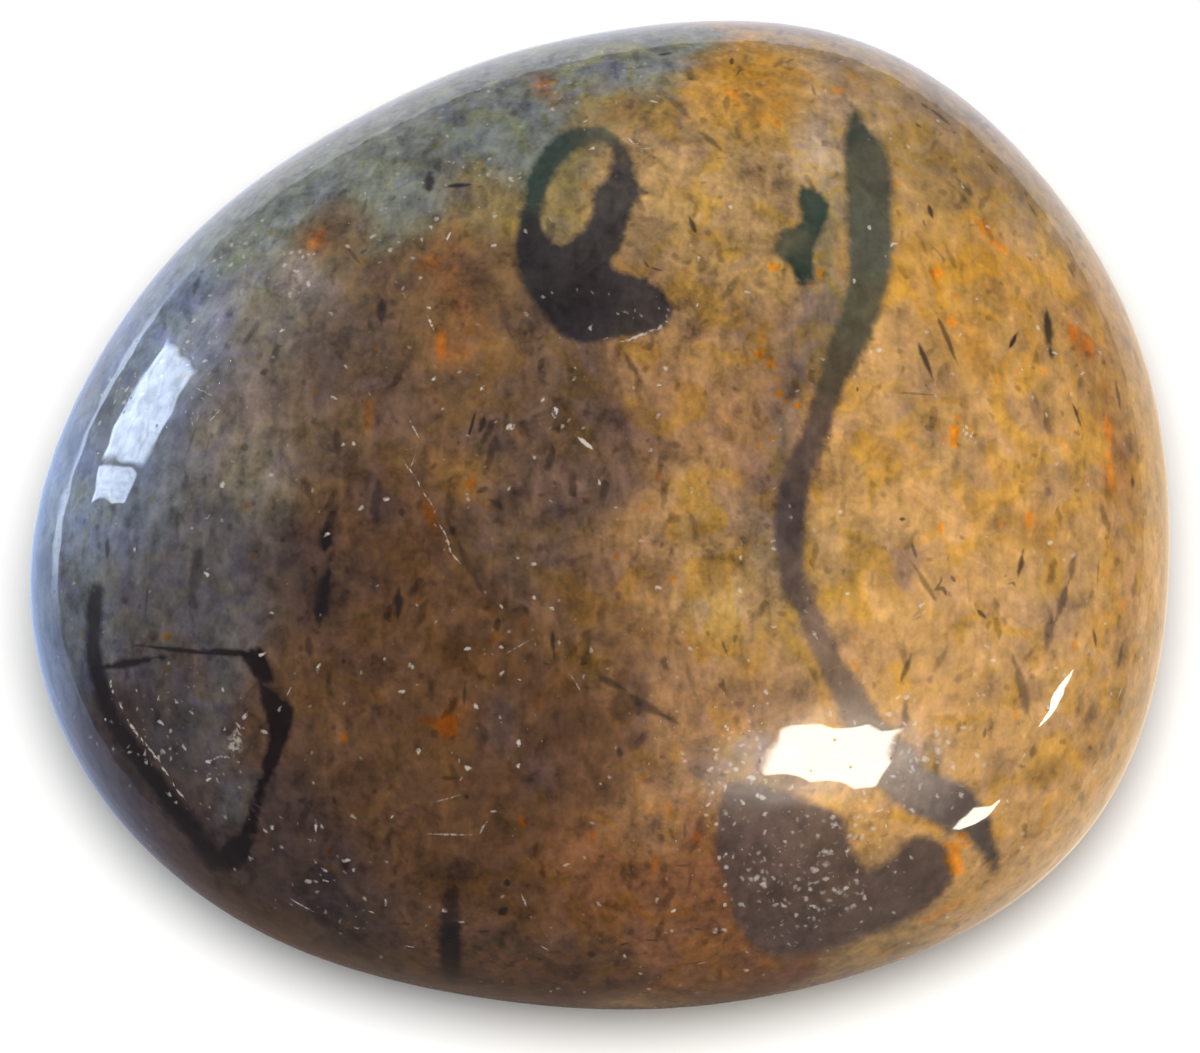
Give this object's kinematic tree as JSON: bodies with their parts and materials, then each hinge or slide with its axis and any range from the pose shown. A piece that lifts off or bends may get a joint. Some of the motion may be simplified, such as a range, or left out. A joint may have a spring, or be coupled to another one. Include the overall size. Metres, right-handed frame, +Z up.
{
  "type": "tumbled boulder opal pebble",
  "caption": "Rounded, polished pebble of banded golden-brown opal-bearing stone with dark veins, lying on a small flat spot.",
  "frame": {"origin": "on the surface that the stone rests on, under the middle of its bounding box", "axes": "+Z up out of the resting surface, +X along the stone's long side, +Y across it"},
  "size_m": [0.034, 0.0298, 0.0161],
  "materials": {
    "stone": "polished"
  },
  "bodies": {
    "root": {"stone": "stone"}
  },
  "joints": []
}
